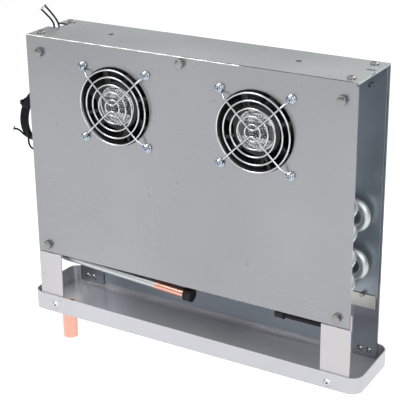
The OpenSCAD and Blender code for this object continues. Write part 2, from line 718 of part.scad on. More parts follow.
top_plate();
fan_panel();
rear_panel();
side_plate_left();
side_plate_right();
leg_front_left();
leg_front_right();
leg_rear_left();
leg_rear_right();
coil_rail_front();
coil_rail_rear();
coil_fins();
coil_tubes();
hairpin_bends();
coil_first_tube();
return_bends();
suction_tube();
suction_stub();
suction_cap();
liquid_tube();
liquid_cap();
drain_pan();
drain_stub();
drain_collar();
fan_frame_left();
fan_frame_right();
fan_stator_left();
fan_stator_right();
fan_rotor_left();
fan_rotor_right();
fan_label_left();
fan_label_right();
finger_guard_left();
finger_guard_right();
guard_screws();
panel_screws();
top_screws();
rear_screws();
pan_rivets();
rear_leg_rivets();
lead_grommet();
fan_wiring();
fan_lead_front();
fan_lead_rear();
fan_lead_plug();
probe_clip();
probe_lead();
probe_lead_coil();
probe_lead_end();
probe_plug();
coil_tie();
tie_strap();
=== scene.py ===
# %% [markdown]
# A two-fan evaporator for a refrigerated counter, finished in Blender. The bodies and
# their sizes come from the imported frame; this script adds wire, cable and label work,
# rounds the sheet edges, and gives every piece its finish.
# %% Loading the frame
import json
import math

import bmesh
import bpy
from mathutils import Matrix, Vector


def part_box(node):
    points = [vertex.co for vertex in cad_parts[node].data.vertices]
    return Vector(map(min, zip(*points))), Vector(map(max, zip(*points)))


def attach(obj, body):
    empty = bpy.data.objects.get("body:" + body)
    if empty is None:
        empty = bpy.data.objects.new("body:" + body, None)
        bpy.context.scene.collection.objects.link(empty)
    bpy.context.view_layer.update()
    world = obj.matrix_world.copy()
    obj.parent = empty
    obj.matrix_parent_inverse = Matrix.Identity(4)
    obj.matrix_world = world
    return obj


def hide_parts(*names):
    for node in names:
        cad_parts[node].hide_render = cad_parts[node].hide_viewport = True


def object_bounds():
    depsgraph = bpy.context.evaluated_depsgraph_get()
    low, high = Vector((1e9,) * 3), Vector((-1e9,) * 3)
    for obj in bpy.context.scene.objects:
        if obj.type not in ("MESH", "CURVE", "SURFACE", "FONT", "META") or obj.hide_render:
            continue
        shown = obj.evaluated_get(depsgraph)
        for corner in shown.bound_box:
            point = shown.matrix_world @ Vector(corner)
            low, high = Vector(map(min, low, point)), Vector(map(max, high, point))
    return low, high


MM = 0.001
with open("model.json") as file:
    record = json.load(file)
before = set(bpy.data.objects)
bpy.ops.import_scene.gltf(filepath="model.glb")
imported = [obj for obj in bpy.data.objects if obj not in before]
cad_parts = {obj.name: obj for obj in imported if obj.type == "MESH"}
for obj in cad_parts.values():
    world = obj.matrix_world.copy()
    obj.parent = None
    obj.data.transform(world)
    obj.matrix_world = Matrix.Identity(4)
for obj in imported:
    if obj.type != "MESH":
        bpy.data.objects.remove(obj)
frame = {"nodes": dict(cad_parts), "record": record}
cad_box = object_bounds()
print("nodes:", len(frame["nodes"]))


# %% [markdown]
# The camera stands to the right of the casing and a little above it. A long lens keeps
# the sheet edges nearly parallel, so the casing still looks like a square box.
# %% Camera
AZIMUTH, ELEVATION, ROLL = (math.radians(a) for a in (31.52, 20.51, -0.88))
DISTANCE = 1.1446
TARGET = Vector((-0.01367, 0.0, -0.11692))
LENS_MM, SENSOR_MM = 105.98, 36.0
FRAME_SHIFT = (0.025, -0.095)
CLIP_END = 50.0
forward = Vector((-math.sin(AZIMUTH) * math.cos(ELEVATION),
                  math.cos(AZIMUTH) * math.cos(ELEVATION), -math.sin(ELEVATION)))
level_right = Vector((math.cos(AZIMUTH), math.sin(AZIMUTH), 0.0))
level_up = level_right.cross(forward)
right = level_right * math.cos(ROLL) + level_up * math.sin(ROLL)
up = level_up * math.cos(ROLL) - level_right * math.sin(ROLL)

lens = bpy.data.cameras.new("camera")
lens.lens, lens.sensor_width = LENS_MM, SENSOR_MM
lens.shift_x, lens.shift_y = FRAME_SHIFT
lens.clip_end = CLIP_END
camera = bpy.data.objects.new("camera", lens)
bpy.context.scene.collection.objects.link(camera)
camera.matrix_world = Matrix.Translation(TARGET - forward * DISTANCE) @ Matrix(
    (right, up, -forward)).transposed().to_4x4()
bpy.context.scene.camera = camera
print("camera", DISTANCE, "m from its target")


# %% [markdown]
# A cable is one open spline with a round bevel. Its route is a short list of places, and
# a smooth curve through them gives the many points that a soft lead needs. The spline is
# then turned into a mesh, so that its size is measured from its skin.
# %% Splines for leads
LEAD_D = 2.0 * MM
BEVEL_ROUNDS = 3


def smooth_route(places, steps):
    """Points on a smooth curve through the places, given in millimetres."""
    knots = [Vector(place) * MM for place in places]
    knots = [knots[0] * 2 - knots[1]] + knots + [knots[-1] * 2 - knots[-2]]
    out = []
    for i in range(1, len(knots) - 2):
        a, b, c, d = knots[i - 1:i + 3]
        for step in range(steps):
            t = step / steps
            out.append(0.5 * ((2 * b) + (c - a) * t + (2 * a - 5 * b + 4 * c - d) * t * t
                              + (3 * b - a - 3 * c + d) * t ** 3))
    return out + [knots[-2]]


def lead_curve(name, points, diameter):
    data = bpy.data.curves.new(name, "CURVE")
    data.dimensions = "3D"
    data.bevel_depth = diameter / 2
    data.bevel_resolution = BEVEL_ROUNDS
    data.use_fill_caps = True
    spline = data.splines.new("POLY")
    spline.points.add(len(points) - 1)
    for knot, place in zip(spline.points, points):
        knot.co = (*place, 1.0)
    spline_object = bpy.data.objects.new(name + "_spline", data)
    bpy.context.scene.collection.objects.link(spline_object)
    graph = bpy.context.evaluated_depsgraph_get()
    mesh = bpy.data.meshes.new_from_object(spline_object.evaluated_get(graph))
    bpy.data.objects.remove(spline_object)
    for polygon in mesh.polygons:
        polygon.use_smooth = True
    lead = bpy.data.objects.new(name, mesh)
    bpy.context.scene.collection.objects.link(lead)
    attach(lead, "casing")
    return lead


def route_length(points):
    return sum((b - a).length for a, b in zip(points, points[1:]))


# %% [markdown]
# The fan lead is two single wires. They rise through the notch in the top plate and end
# in one white plug, so their whole length shows.
# %% Fan lead
FAN_WIRE_STEPS = 4
FRONT_ROUTE = [(-171.4, 1, -16), (-171.4, 1, -8), (-171.6, 1, -1), (-173, 1.2, 3.5),
               (-176.5, 1.6, 7), (-181, 2.2, 10), (-185, 2.7, 12.5), (-188.5, 3, 15)]
REAR_ROUTE = [(-166.8, 3, -16), (-166.8, 3, -8), (-167, 3, -1), (-168.6, 3, 4),
              (-172, 3, 8.5), (-176, 3, 12.5), (-180, 3, 16), (-183.6, 3, 19)]
fan_leads = []
for name, node, route in (("fan_wire_front", "fan_lead_front", FRONT_ROUTE),
                          ("fan_wire_rear", "fan_lead_rear", REAR_ROUTE)):
    points = smooth_route(route, FAN_WIRE_STEPS)
    wire = lead_curve(name, points, LEAD_D)
    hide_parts(node)
    fan_leads.append((wire, points))
    print(name, round(route_length(points), 4), "m")

# %% [markdown]
# The sensor lead leaves a clip in the left side plate, dips, and runs up into its tied
# coil. The nine turns lie in two rows, and each turn steps to the neighbouring place in
# the other row, in the same part of the ring, as a hand winds them.
# %% Sensor lead
COIL_AT = Vector((-190.6, -6.0, -94.5)) * MM
COIL_R = 25.5 * MM
TAIL_ROUTE = [(-144, -14, -118), (-152, -14, -118), (-162, -14.3, -119), (-172, -15.5, -122),
              (-180, -18, -126), (-186, -21.5, -127.5), (-189.4, -25.5, -124.6),
              (-190, -28.2, -118.5), (-189.2, -29.2, -111.5)]
END_ROUTE = [(-195.2, -27.4, -111.4), (-196, -30.2, -108), (-197, -33, -104.8),
             (-198.8, -34.9, -102.9), (-200.8, -35.6, -102.9), (-202.6, -35.7, -102.4)]
GAP = 2.08 * MM
ROW = GAP * math.sin(math.radians(60))
BUNDLE = [((0.5 - k % 2) * ROW, (k / 2 - 2) * GAP) for k in range(9)]
PER_TURN = 36
END_STEPS = 3
STEP_FROM = 0.6
WANDER, WANDER_RATE = 0.12 * MM, 2.3
FIRST_ANGLE = math.radians(186)
LAST_ANGLE = math.radians(226)


def place_in_bundle(turn):
    """Radial and sideways place after so many turns."""
    whole = min(int(turn), len(BUNDLE) - 1)
    after = min(whole + 1, len(BUNDLE) - 1)
    share = max(0.0, (turn - whole - STEP_FROM) / (1 - STEP_FROM))
    share = share * share * (3 - 2 * share)
    a, b = BUNDLE[whole], BUNDLE[after]
    wander = WANDER * math.sin(turn * WANDER_RATE)
    return (a[0] + (b[0] - a[0]) * share + wander, a[1] + (b[1] - a[1]) * share)


def coil_points():
    full = len(BUNDLE) * math.tau - (LAST_ANGLE - FIRST_ANGLE)
    count = int(full / math.tau * PER_TURN)
    out = []
    for i in range(count + 1):
        swept = full * i / count
        radial, sideways = place_in_bundle(swept / math.tau)
        angle = FIRST_ANGLE - swept
        out.append(COIL_AT + Vector((-sideways, (COIL_R + radial) * math.cos(angle),
                                     (COIL_R + radial) * math.sin(angle))))
    return out


tail = smooth_route(TAIL_ROUTE, END_STEPS)
end = smooth_route(END_ROUTE, END_STEPS)
probe_points = tail + coil_points() + end[1:]
probe_wire = lead_curve("sensor_wire", probe_points, LEAD_D)
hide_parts("probe_lead", "probe_lead_coil", "probe_lead_end")
print("sensor lead", round(route_length(probe_points), 3), "m")


# %% [markdown]
# Rolled sheet is never one flat grey: the rollers leave fine streaks along the sheet,
# handling leaves broad cloudy patches, and a few dark specks stay from the press. All
# three are noise, so one node group with named inputs makes them, and every metal below
# uses it with its own values. A second group does the same for moulded plastic.
# %% Node group helpers
def new_group(name, inputs, outputs):
    group = bpy.data.node_groups.new(name, "ShaderNodeTree")
    for title, kind, value in inputs:
        socket = group.interface.new_socket(title, in_out="INPUT", socket_type=kind)
        socket.default_value = value
    for title, kind in outputs:
        group.interface.new_socket(title, in_out="OUTPUT", socket_type=kind)
    return group, group.nodes.new("NodeGroupInput"), group.nodes.new("NodeGroupOutput")


def join(group, *pairs):
    for a, b in pairs:
        group.links.new(a, b)


def math_node(group, operation, *values):
    node = group.nodes.new("ShaderNodeMath")
    node.operation = operation
    for socket, value in zip(node.inputs, values):
        if isinstance(value, (int, float)):
            socket.default_value = value
        else:
            group.links.new(value, socket)
    return node.outputs[0]


# %% Rolled grain
MIDDLE = 0.5
SPECK_SCALE, SPECK_LEVEL = 150.0, 0.72
PATCH_TO_GLOSS, STREAK_TO_GLOSS = 0.35, 0.3


def noise(group, scale=None, detail=None, roughness=None):
    """A noise texture with the values given; the rest stay as Blender has them."""
    node = group.nodes.new("ShaderNodeTexNoise")
    for title, value in (("Scale", scale), ("Detail", detail), ("Roughness", roughness)):
        if value is not None:
            node.inputs[title].default_value = value
    return node


def build_rolled_grain():
    """Streaks along the sheet with patches over them: a colour, a roughness and a height."""
    g, gin, gout = new_group(
        "rolled grain",
        [("Color", "NodeSocketColor", (0.5, 0.5, 0.5, 1)), ("Roughness", "NodeSocketFloat", 0.4),
         ("Streaks", "NodeSocketFloat", 0.1), ("Patches", "NodeSocketFloat", 0.1),
         ("Streak Size", "NodeSocketVector", (20, 900, 900)),
         ("Patch Scale", "NodeSocketFloat", 18.0), ("Specks", "NodeSocketFloat", 0.2)],
        [("Color", "NodeSocketColor"), ("Roughness", "NodeSocketFloat"),
         ("Height", "NodeSocketFloat")])
    coord = g.nodes.new("ShaderNodeTexCoord")
    stretch = g.nodes.new("ShaderNodeVectorMath")
    stretch.operation = "MULTIPLY"
    fine = noise(g, scale=1.0, detail=4.0)
    broad = noise(g, detail=3.0, roughness=0.45)
    spots = noise(g, scale=SPECK_SCALE, detail=2.0)
    join(g, (coord.outputs["Object"], stretch.inputs[0]),
         (gin.outputs["Streak Size"], stretch.inputs[1]),
         (stretch.outputs[0], fine.inputs["Vector"]),
         (coord.outputs["Object"], broad.inputs["Vector"]),
         (gin.outputs["Patch Scale"], broad.inputs["Scale"]),
         (coord.outputs["Object"], spots.inputs["Vector"]))
    streak = math_node(g, "MULTIPLY", math_node(g, "SUBTRACT", fine.outputs["Fac"], MIDDLE),
                       gin.outputs["Streaks"])
    patch = math_node(g, "MULTIPLY", math_node(g, "SUBTRACT", broad.outputs["Fac"], MIDDLE),
                      gin.outputs["Patches"])
    speck = math_node(g, "MULTIPLY",
                      math_node(g, "GREATER_THAN", spots.outputs["Fac"], SPECK_LEVEL),
                      gin.outputs["Specks"])
    tone = math_node(g, "SUBTRACT", math_node(g, "ADD", math_node(g, "ADD", streak, patch), 1.0),
                     speck)
    shade = g.nodes.new("ShaderNodeVectorMath")
    shade.operation = "SCALE"
    join(g, (gin.outputs["Color"], shade.inputs[0]), (tone, shade.inputs["Scale"]),
         (shade.outputs[0], gout.inputs["Color"]),
         (fine.outputs["Fac"], gout.inputs["Height"]))
    rough = math_node(g, "ADD", gin.outputs["Roughness"],
                      math_node(g, "MULTIPLY", patch, PATCH_TO_GLOSS))
    join(g, (math_node(g, "ADD", rough, math_node(g, "MULTIPLY", streak, STREAK_TO_GLOSS)),
             gout.inputs["Roughness"]))
    return g


# %% Moulded skin
DUST_SCALE, DUST_DETAIL = 60.0, 6.0
DUST_COLOR = (0.6, 0.6, 0.58, 1)


def build_moulded_skin():
    """Fine moulded grain with a little dust: for plastic, rubber and paint."""
    g, gin, gout = new_group(
        "moulded skin",
        [("Color", "NodeSocketColor", (0.1, 0.1, 0.1, 1)), ("Roughness", "NodeSocketFloat", 0.5),
         ("Grain Scale", "NodeSocketFloat", 1500.0), ("Dust", "NodeSocketFloat", 0.1)],
        [("Color", "NodeSocketColor"), ("Roughness", "NodeSocketFloat"),
         ("Height", "NodeSocketFloat")])
    coord = g.nodes.new("ShaderNodeTexCoord")
    grain = noise(g)
    dust = noise(g, scale=DUST_SCALE, detail=DUST_DETAIL)
    join(g, (coord.outputs["Object"], grain.inputs["Vector"]),
         (coord.outputs["Object"], dust.inputs["Vector"]),
         (gin.outputs["Grain Scale"], grain.inputs["Scale"]))
    amount = math_node(g, "MULTIPLY", dust.outputs["Fac"], gin.outputs["Dust"])
    mix = g.nodes.new("ShaderNodeMix")
    mix.data_type = "RGBA"
    mix.inputs["B"].default_value = DUST_COLOR
    join(g, (amount, mix.inputs["Factor"]), (gin.outputs["Color"], mix.inputs["A"]),
         (mix.outputs["Result"], gout.inputs["Color"]),
         (grain.outputs["Fac"], gout.inputs["Height"]),
         (math_node(g, "ADD", gin.outputs["Roughness"], amount), gout.inputs["Roughness"]))
    return g


rolled_grain = build_rolled_grain()
moulded_skin = build_moulded_skin()
print("groups:", rolled_grain.name, "and", moulded_skin.name)


# %% [markdown]
# The shader itself stays in each material: one Principled BSDF, fed by a group for colour
# and roughness and by a Bump node for the relief.
# %% Finish helpers
SHEET_RELIEF, SHEET_DEPTH, SKIN_DEPTH = 0.04, 0.02 * MM, 0.03 * MM
STREAK_ACROSS, STREAK_ALONG, PATCH_SCALE = 1100.0, 14.0, 6.0


def finish(name, group, values, metallic, relief, relief_depth, specular=0.5):
    material = bpy.data.materials.new(name)
    material.use_nodes = True
    tree = material.node_tree
    shader = tree.nodes["Principled BSDF"]
    shader.inputs["Metallic"].default_value = metallic
    shader.inputs["Specular IOR Level"].default_value = specular
    node = tree.nodes.new("ShaderNodeGroup")
    node.node_tree = group
    for key, value in values.items():
        node.inputs[key].default_value = (*value, 1.0) if key == "Color" else value
    bump = tree.nodes.new("ShaderNodeBump")
    bump.inputs["Strength"].default_value = relief
    bump.inputs["Distance"].default_value = relief_depth
    join(tree, (node.outputs["Color"], shader.inputs["Base Color"]),
         (node.outputs["Roughness"], shader.inputs["Roughness"]),
         (node.outputs["Height"], bump.inputs["Height"]),
         (bump.outputs["Normal"], shader.inputs["Normal"]))
    return material


def sheet_finish(name, color, roughness, metallic=0.85, streaks=0.07, patches=0.16, along=0,
                 specks=0.15, specular=0.5):
    """Rolled sheet: the streaks run along the axis numbered by along."""
    size = [STREAK_ACROSS] * 3
    size[along] = STREAK_ALONG
    values = {"Color": color, "Roughness": roughness, "Streaks": streaks, "Patches": patches,
              "Streak Size": size, "Patch Scale": PATCH_SCALE, "Specks": specks}
    return finish(name, rolled_grain, values, metallic, SHEET_RELIEF, SHEET_DEPTH, specular)


def skin_finish(name, color, roughness, dust=0.05, grain=1500.0, relief=0.3, specular=0.5):
    """Moulded plastic, rubber or paint."""
    values = {"Color": color, "Roughness": roughness, "Dust": dust, "Grain Scale": grain}
    return finish(name, moulded_skin, values, 0.0, relief, SKIN_DEPTH, specular)


# %% Finishes
FINISHES = {
    "casing_sheet": sheet_finish("casing sheet", (0.290, 0.296, 0.308), 0.28, patches=0.42),
    "top_sheet": sheet_finish("top sheet", (0.485, 0.515, 0.515), 0.33, patches=0.40, specks=0.5),
    # painted shade: darker than the leg sheet, so that the rear legs, which stand in the casing's
    # shadow, come out dark
    "inner_sheet": sheet_finish("inner sheet, painted shade", (0.325, 0.365, 0.405), 0.36, patches=0.3, along=2),
    "rear_sheet": sheet_finish("rear sheet", (0.24, 0.26, 0.29), 0.34, along=2),
    "rail_sheet": sheet_finish("rail sheet", (0.50, 0.50, 0.47), 0.33, patches=0.4),
    "leg_sheet": sheet_finish("leg sheet", (0.48, 0.465, 0.475), 0.36, metallic=0.6, patches=0.4,
                              along=2, specks=0.4),
    "pan_sheet": sheet_finish("pan sheet", (0.455, 0.456, 0.482), 0.25, metallic=0.45,
                              streaks=0.03, patches=0.16),
    "fin_foil": sheet_finish("fin foil", (0.55, 0.58, 0.62), 0.35, along=2),
    "coil_tube": sheet_finish("coil tube", (0.52, 0.55, 0.555), 0.40, metallic=0.95, patches=0.4),
    "copper": sheet_finish("copper", (0.72, 0.385, 0.295), 0.32, metallic=0.9, patches=0.35),
    "brass_fitting": sheet_finish("brass fitting", (0.60, 0.42, 0.24), 0.30, metallic=1.0),
    # painted shade: the liquid line is copper, made near black and non-metallic for the shade it
    # lies in behind the panel
    "dark_tube": sheet_finish("copper tube in painted shade", (0.010, 0.008, 0.012), 0.50, metallic=0.0,
                              specular=0.15),
    "guard_chrome": sheet_finish("guard chrome", (0.56, 0.58, 0.60), 0.12, metallic=1.0,
                                 streaks=0.04, patches=0.08),
    "guard_screw": sheet_finish("guard screw", (0.36, 0.42, 0.48), 0.16, metallic=1.0, patches=0.3),
    "zinc_screw": sheet_finish("zinc screw", (0.27, 0.27, 0.265), 0.26, metallic=1.0, patches=0.3),
    "rivet_metal": sheet_finish("rivet metal", (0.52, 0.52, 0.53), 0.22, metallic=1.0),
    # painted highlight: a near-white finish for the light on the panel's rounded top edge
    "edge_highlight": sheet_finish("painted edge highlight", (0.90, 0.89, 0.86), 0.30, metallic=0.6, patches=0.5),
    "winding": sheet_finish("winding", (0.35, 0.14, 0.05), 0.35, metallic=0.6),
    "cap_rubber": skin_finish("cap rubber", (0.008, 0.008, 0.010), 0.60, dust=0.01, specular=0.25),
    "fan_body": skin_finish("fan body", (0.006, 0.006, 0.007), 0.55, dust=0.01),
    "rotor_plastic": skin_finish("rotor plastic", (0.005, 0.005, 0.006), 0.60, dust=0.005),
    "lead_black": skin_finish("lead black", (0.003, 0.004, 0.007), 0.50, dust=0.002, grain=900.0,
                              specular=0.2),
    "plug_white": skin_finish("plug white", (0.82, 0.82, 0.79), 0.35, dust=0.06),
}
print(len(FINISHES), "finishes")


# %% [markdown]
# A fan's label is foil with a dark printed panel across its middle, rows of small print
# that can't be read, and a rim line. Everything follows the label's own centre, so it
# comes from Object coordinates through a Mapping node, and the rest is plain arithmetic.
# %% Label finish
LABEL_R = 19.5 * MM
LABEL_METALLIC, LABEL_INK = 0.5, 0.9
FOIL_COLOR, INK_COLOR = (0.42, 0.43, 0.44, 1), (0.02, 0.02, 0.024, 1)
PANEL_R, PANEL_HALF, PRINT_HALF = 0.86 * LABEL_R, 0.36 * LABEL_R, 0.6 * LABEL_R
ROW_RATE, ROW_LEVEL = 2700.0, 0.45
WORD_RATE, WORD_SLANT, WORD_LEVEL = 2100.0, 900.0, 0.0
RIM_R, RIM_HALF = 0.89 * LABEL_R, 0.02 * LABEL_R
TICK_R, TICK_HALF, TICKS_PER_RADIAN = 0.72 * LABEL_R, 0.05 * LABEL_R, 34.0


def label_finish(name, centre_x, centre_z):
    material = FINISHES["guard_chrome"].copy()
    material.name = name
    tree = material.node_tree
    shader = tree.nodes["Principled BSDF"]
    shader.inputs["Metallic"].default_value = LABEL_METALLIC

    def node_math(operation, *values):
        return math_node(tree, operation, *values)

    coord = tree.nodes.new("ShaderNodeTexCoord")
    place = tree.nodes.new("ShaderNodeMapping")
    place.vector_type = "TEXTURE"
    place.inputs["Location"].default_value = (centre_x, 0.0, centre_z)
    split = tree.nodes.new("ShaderNodeSeparateXYZ")
    x, z = split.outputs["X"], split.outputs["Z"]
    radius = node_math("SQRT", node_math("ADD", node_math("MULTIPLY", x, x),
                                         node_math("MULTIPLY", z, z)))
    height, across = node_math("ABSOLUTE", z), node_math("ABSOLUTE", x)
    inside = node_math("LESS_THAN", radius, PANEL_R)
    panel = node_math("MULTIPLY", inside, node_math("LESS_THAN", height, PANEL_HALF))
    rows = node_math("GREATER_THAN", node_math("SINE", node_math("MULTIPLY", z, ROW_RATE)),
                     ROW_LEVEL)
    slanted = node_math("ADD", node_math("MULTIPLY", x, WORD_RATE),
                        node_math("MULTIPLY", z, WORD_SLANT))
    words = node_math("GREATER_THAN", node_math("SINE", slanted), WORD_LEVEL)
    short = node_math("LESS_THAN", across, PRINT_HALF)
    print_on = node_math("MULTIPLY", node_math("MULTIPLY", rows, words), short)
    rim = node_math("COMPARE", radius, RIM_R, RIM_HALF)
    ring = node_math("COMPARE", radius, TICK_R, TICK_HALF)
    spin = node_math("MULTIPLY", node_math("ARCTAN2", z, x), TICKS_PER_RADIAN)
    ticks = node_math("MULTIPLY", ring, node_math("GREATER_THAN", node_math("SINE", spin), 0.0))
    dark = node_math("MAXIMUM", node_math("MAXIMUM", rim, ticks),
                     node_math("ABSOLUTE", node_math("SUBTRACT", panel, print_on)))
    mix = tree.nodes.new("ShaderNodeMix")
    mix.data_type = "RGBA"
    mix.inputs["A"].default_value = FOIL_COLOR
    mix.inputs["B"].default_value = INK_COLOR
    join(tree, (coord.outputs["Object"], place.inputs["Vector"]),
         (place.outputs[0], split.inputs[0]),
         (node_math("MULTIPLY", dark, LABEL_INK), mix.inputs["Factor"]),
         (mix.outputs["Result"], shader.inputs["Base Color"]))
    return material


def node_centre(name):
    low, high = (Vector(c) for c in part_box(name))
    return (low + high) / 2


for side in ("left", "right"):
    spot = node_centre("fan_label_" + side)
    FINISHES["label_" + side] = label_finish("label foil " + side, spot.x, spot.z)
    print("label", side, "centred on", spot)

# %% [markdown]
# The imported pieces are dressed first, so that nothing is left grey. Most take the finish
# of their slot, and a few that share a slot with another piece have their own.
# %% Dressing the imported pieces
SLOTS = {entry["node"]: entry["material_slot"] for entry in frame["record"]["subparts"]}


def dress(piece, material):
    piece.data.materials.clear()
    piece.data.materials.append(material)


OWN_FINISH = {"top_plate": "top_sheet", "guard_screws": "guard_screw",
              "fan_label_left": "label_left", "fan_label_right": "label_right"}


def finish_of(node):
    """The material a node shows: its slot's, or its own where two nodes share a slot."""
    return FINISHES[OWN_FINISH.get(node, SLOTS[node])]


for name, piece in frame["nodes"].items():
    dress(piece, finish_of(name))
for wire in [w for w, _ in fan_leads] + [probe_wire]:
    dress(wire, FINISHES["lead_black"])
print("dressed", len(frame["nodes"]), "packed pieces and", len(fan_leads) + 1, "leads")


# %% [markdown]
# A sheet edge straight from the saw looks like a drawing. A copy of each sheet is merged
# and its sharp edges take a small bevel, which catches the light as a real edge does.
# %% Rounding edges
MERGE = 1e-6
FLAT_ANGLE, SHARP_ANGLE, BEVEL_ANGLE = (math.radians(a) for a in (1.0, 35, 40))


def new_piece(name, bm, material, body):
    mesh = bpy.data.meshes.new(name)
    bm.to_mesh(mesh)
    bm.free()
    piece = bpy.data.objects.new(name, mesh)
    bpy.context.scene.collection.objects.link(piece)
    mesh.materials.append(material)
    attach(piece, body)
    return piece


def body_with(node):
    return next(b for b, names in frame["record"]["behaviour"]["bodies"].items() if node in names)


def softened(node, width, segments=2):
    """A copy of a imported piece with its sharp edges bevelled, standing for that piece."""
    bm = bmesh.new()
    bm.from_mesh(frame["nodes"][node].data)
    bmesh.ops.remove_doubles(bm, verts=bm.verts, dist=MERGE)
    bmesh.ops.dissolve_limit(bm, angle_limit=FLAT_ANGLE, verts=bm.verts, edges=bm.edges)
    piece = new_piece(node + "_soft", bm, finish_of(node), body_with(node))
    bevel = piece.modifiers.new("edges", "BEVEL")
    bevel.width = width
    bevel.segments = segments
    bevel.limit_method = "ANGLE"
    bevel.angle_limit = BEVEL_ANGLE
    bevel.use_clamp_overlap = True
    bevel.harden_normals = False
    for polygon in piece.data.polygons:
        polygon.use_smooth = True
    piece.data.set_sharp_from_angle(angle=SHARP_ANGLE)
    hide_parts(node)
    return piece


OUTER_EDGE, INNER_EDGE, SCREW_EDGE = 0.5 * MM, 0.3 * MM, 0.2 * MM
OUTER_SHEETS = ("top_plate", "fan_panel", "drain_pan")
INNER_SHEETS = ("leg_front_left", "leg_front_right", "leg_rear_left", "leg_rear_right",
                "side_plate_left", "side_plate_right", "rear_panel", "coil_rail_rear")
SCREWS = ("panel_screws", "rear_screws", "top_screws", "guard_screws")
for node in OUTER_SHEETS:
    softened(node, OUTER_EDGE, segments=3)
for node in INNER_SHEETS:
    softened(node, INNER_EDGE)
for node in SCREWS:
    softened(node, SCREW_EDGE)
print("rounded", len(OUTER_SHEETS + INNER_SHEETS + SCREWS), "pieces")

# %% [markdown]
# The two moulded plugs, on the fan lead and the sensor lead, take the same rounded edges as the
# sheets.
# %% Rounding the plugs
fan_plug, probe_plug = (softened(node, OUTER_EDGE) for node in ("fan_lead_plug", "probe_plug"))


# %% [markdown]
# A finger guard is welded from bright wire: five rings, and two bent wires whose ends are
# curled into eyelets for the screws. Each wire is a circle swept along its own route,
# made by bridging one small circle to the next.
# %% Swept wire
WIRE_SIDES = 12


def sweep(bm, points, radius, closed=False):
    """A round wire along the points, with flat closed ends unless it is a closed ring."""
    loops = []
    count = len(points)
    across = None
    for i, point in enumerate(points):
        before = points[(i - 1) % count] if closed else points[max(i - 1, 0)]
        after = points[(i + 1) % count] if closed else points[min(i + 1, count - 1)]
        ahead = (after - before).normalized()
        if across is None:
            across = ahead.orthogonal().normalized()
        across = (across - ahead * across.dot(ahead)).normalized()
        turn = Matrix((across, ahead.cross(across), ahead)).transposed().to_4x4()
        made = bmesh.ops.create_circle(bm, segments=WIRE_SIDES, radius=radius,
                                       matrix=Matrix.Translation(point) @ turn)
        loops.append(made["verts"])
    pairs = list(zip(loops, loops[1:] + ([loops[0]] if closed else [])))
    for a, b in pairs:
        edges = [e for v in a for e in v.link_edges if e.other_vert(v) in a]
        edges += [e for v in b for e in v.link_edges if e.other_vert(v) in b]
        bmesh.ops.bridge_loops(bm, edges=list(set(edges)))
    if not closed:
        for loop in (loops[0], loops[-1]):
            bmesh.ops.contextual_create(bm, geom=list(loop))


def arc(centre, radius, start, stop, steps, y):
    """Points on an arc in a plane parallel to the front, angles in degrees."""
    out = []
    for i in range(steps + 1):
        a = math.radians(start + (stop - start) * i / steps)
        out.append(Vector((centre[0] + radius * math.cos(a), y, centre[1] + radius * math.sin(a))))
    return out


# %% Guard sizes
WIRE = 0.85 * MM
RINGS = [r * MM for r in (7.9, 15.5, 22.7, 30.0, 37.0)]
RING_STEPS = 72
RING_PROUD = 4.9 * MM
EYE = 35.75 * MM
EYELET_R, EYELET_STEPS = 3.6 * MM, 20
EYELET_FROM, EYELET_TO = 12, 330
STEP_OUT, KNEE_OUT = 31.5, 28.0
INNER_OUT, CROWN_OUT, MIDDLE_UP = (5.4, 6.0), (2.6, 3.7), 3.0


def ring_points(x, z, radius, y):
    return arc((x, z), radius, 0, 360 - 360 / RING_STEPS, RING_STEPS - 1, y)


def guard_spoke(x, z, front, s):
    """One bent wire, s up or down, from eyelet to eyelet past the middle of the guard."""
    y_low = front - WIRE
    y_high = front - RING_PROUD - 1.55 * WIRE
    halves = []

    def beside(m, out, up, y):
        return Vector((x + m * out * MM, y, z + s * up * MM))

    for m in (-1, 1):
        corner = 45 if s > 0 else -45
        toward = (180 - corner if m < 0 else corner) + 180
        eyelet = arc((x + m * EYE, z + s * EYE), EYELET_R, toward + m * s * EYELET_FROM,
                     toward + m * s * EYELET_TO, EYELET_STEPS, y_low)
        step = beside(m, STEP_OUT, STEP_OUT, (y_low + y_high) / 2)
        knee = beside(m, KNEE_OUT, KNEE_OUT, y_high)
        inner = beside(m, *INNER_OUT, y_high)
        crown = beside(m, *CROWN_OUT, y_high)
        halves.append(eyelet[::-1] + [step, knee, knee.lerp(inner, 0.5), inner, crown])
    middle = Vector((x, y_high, z + s * MIDDLE_UP * MM))
    return halves[0] + [middle] + halves[1][::-1]


# %% Finger guards
def finger_guard(side):
    rotor = node_centre("fan_rotor_" + side)
    x, z = rotor.x, rotor.z
    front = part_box("fan_panel")[0][1]
    bm = bmesh.new()
    for radius in RINGS:
        sweep(bm, ring_points(x, z, radius, front - RING_PROUD), WIRE, closed=True)
    for s in (1, -1):
        sweep(bm, guard_spoke(x, z, front, s), WIRE)
    bmesh.ops.recalc_face_normals(bm, faces=bm.faces)
    piece = new_piece("guard_" + side, bm, FINISHES["guard_chrome"], "casing")
    for polygon in piece.data.polygons:
        polygon.use_smooth = True
    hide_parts("finger_guard_" + side)
    return piece


for side in ("left", "right"):
    guard = finger_guard(side)
    print(guard.name, len(guard.data.polygons), "faces")


# %% [markdown]
# Two small things draw the casing's upper front edge: a painted highlight where light catches the
# rounded top of the panel, and a painted shadow where the gap between the panel and the top plate
# lies in shade. Both are thin wires along the edge, made with the same sweep as the guard.
# %% Edge lines
HIGHLIGHT_R, SEAM_SHADE_R = 0.42 * MM, 0.42 * MM
KNOT_EVERY, WOBBLE_SHARE = 6 * MM, 0.12
HIGHLIGHT_FROM, HIGHLIGHT_END = 1 * MM, 62 * MM
HIGHLIGHT_IN, HIGHLIGHT_DOWN, SEAM_IN = 0.35 * MM, 0.3 * MM, 0.1 * MM
SHADED_SEAMS = (("seam_mid", 2 * MM, 22 * MM), ("seam_right", 34 * MM, 171 * MM))
panel_low, panel_high = (Vector(c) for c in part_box("fan_panel"))


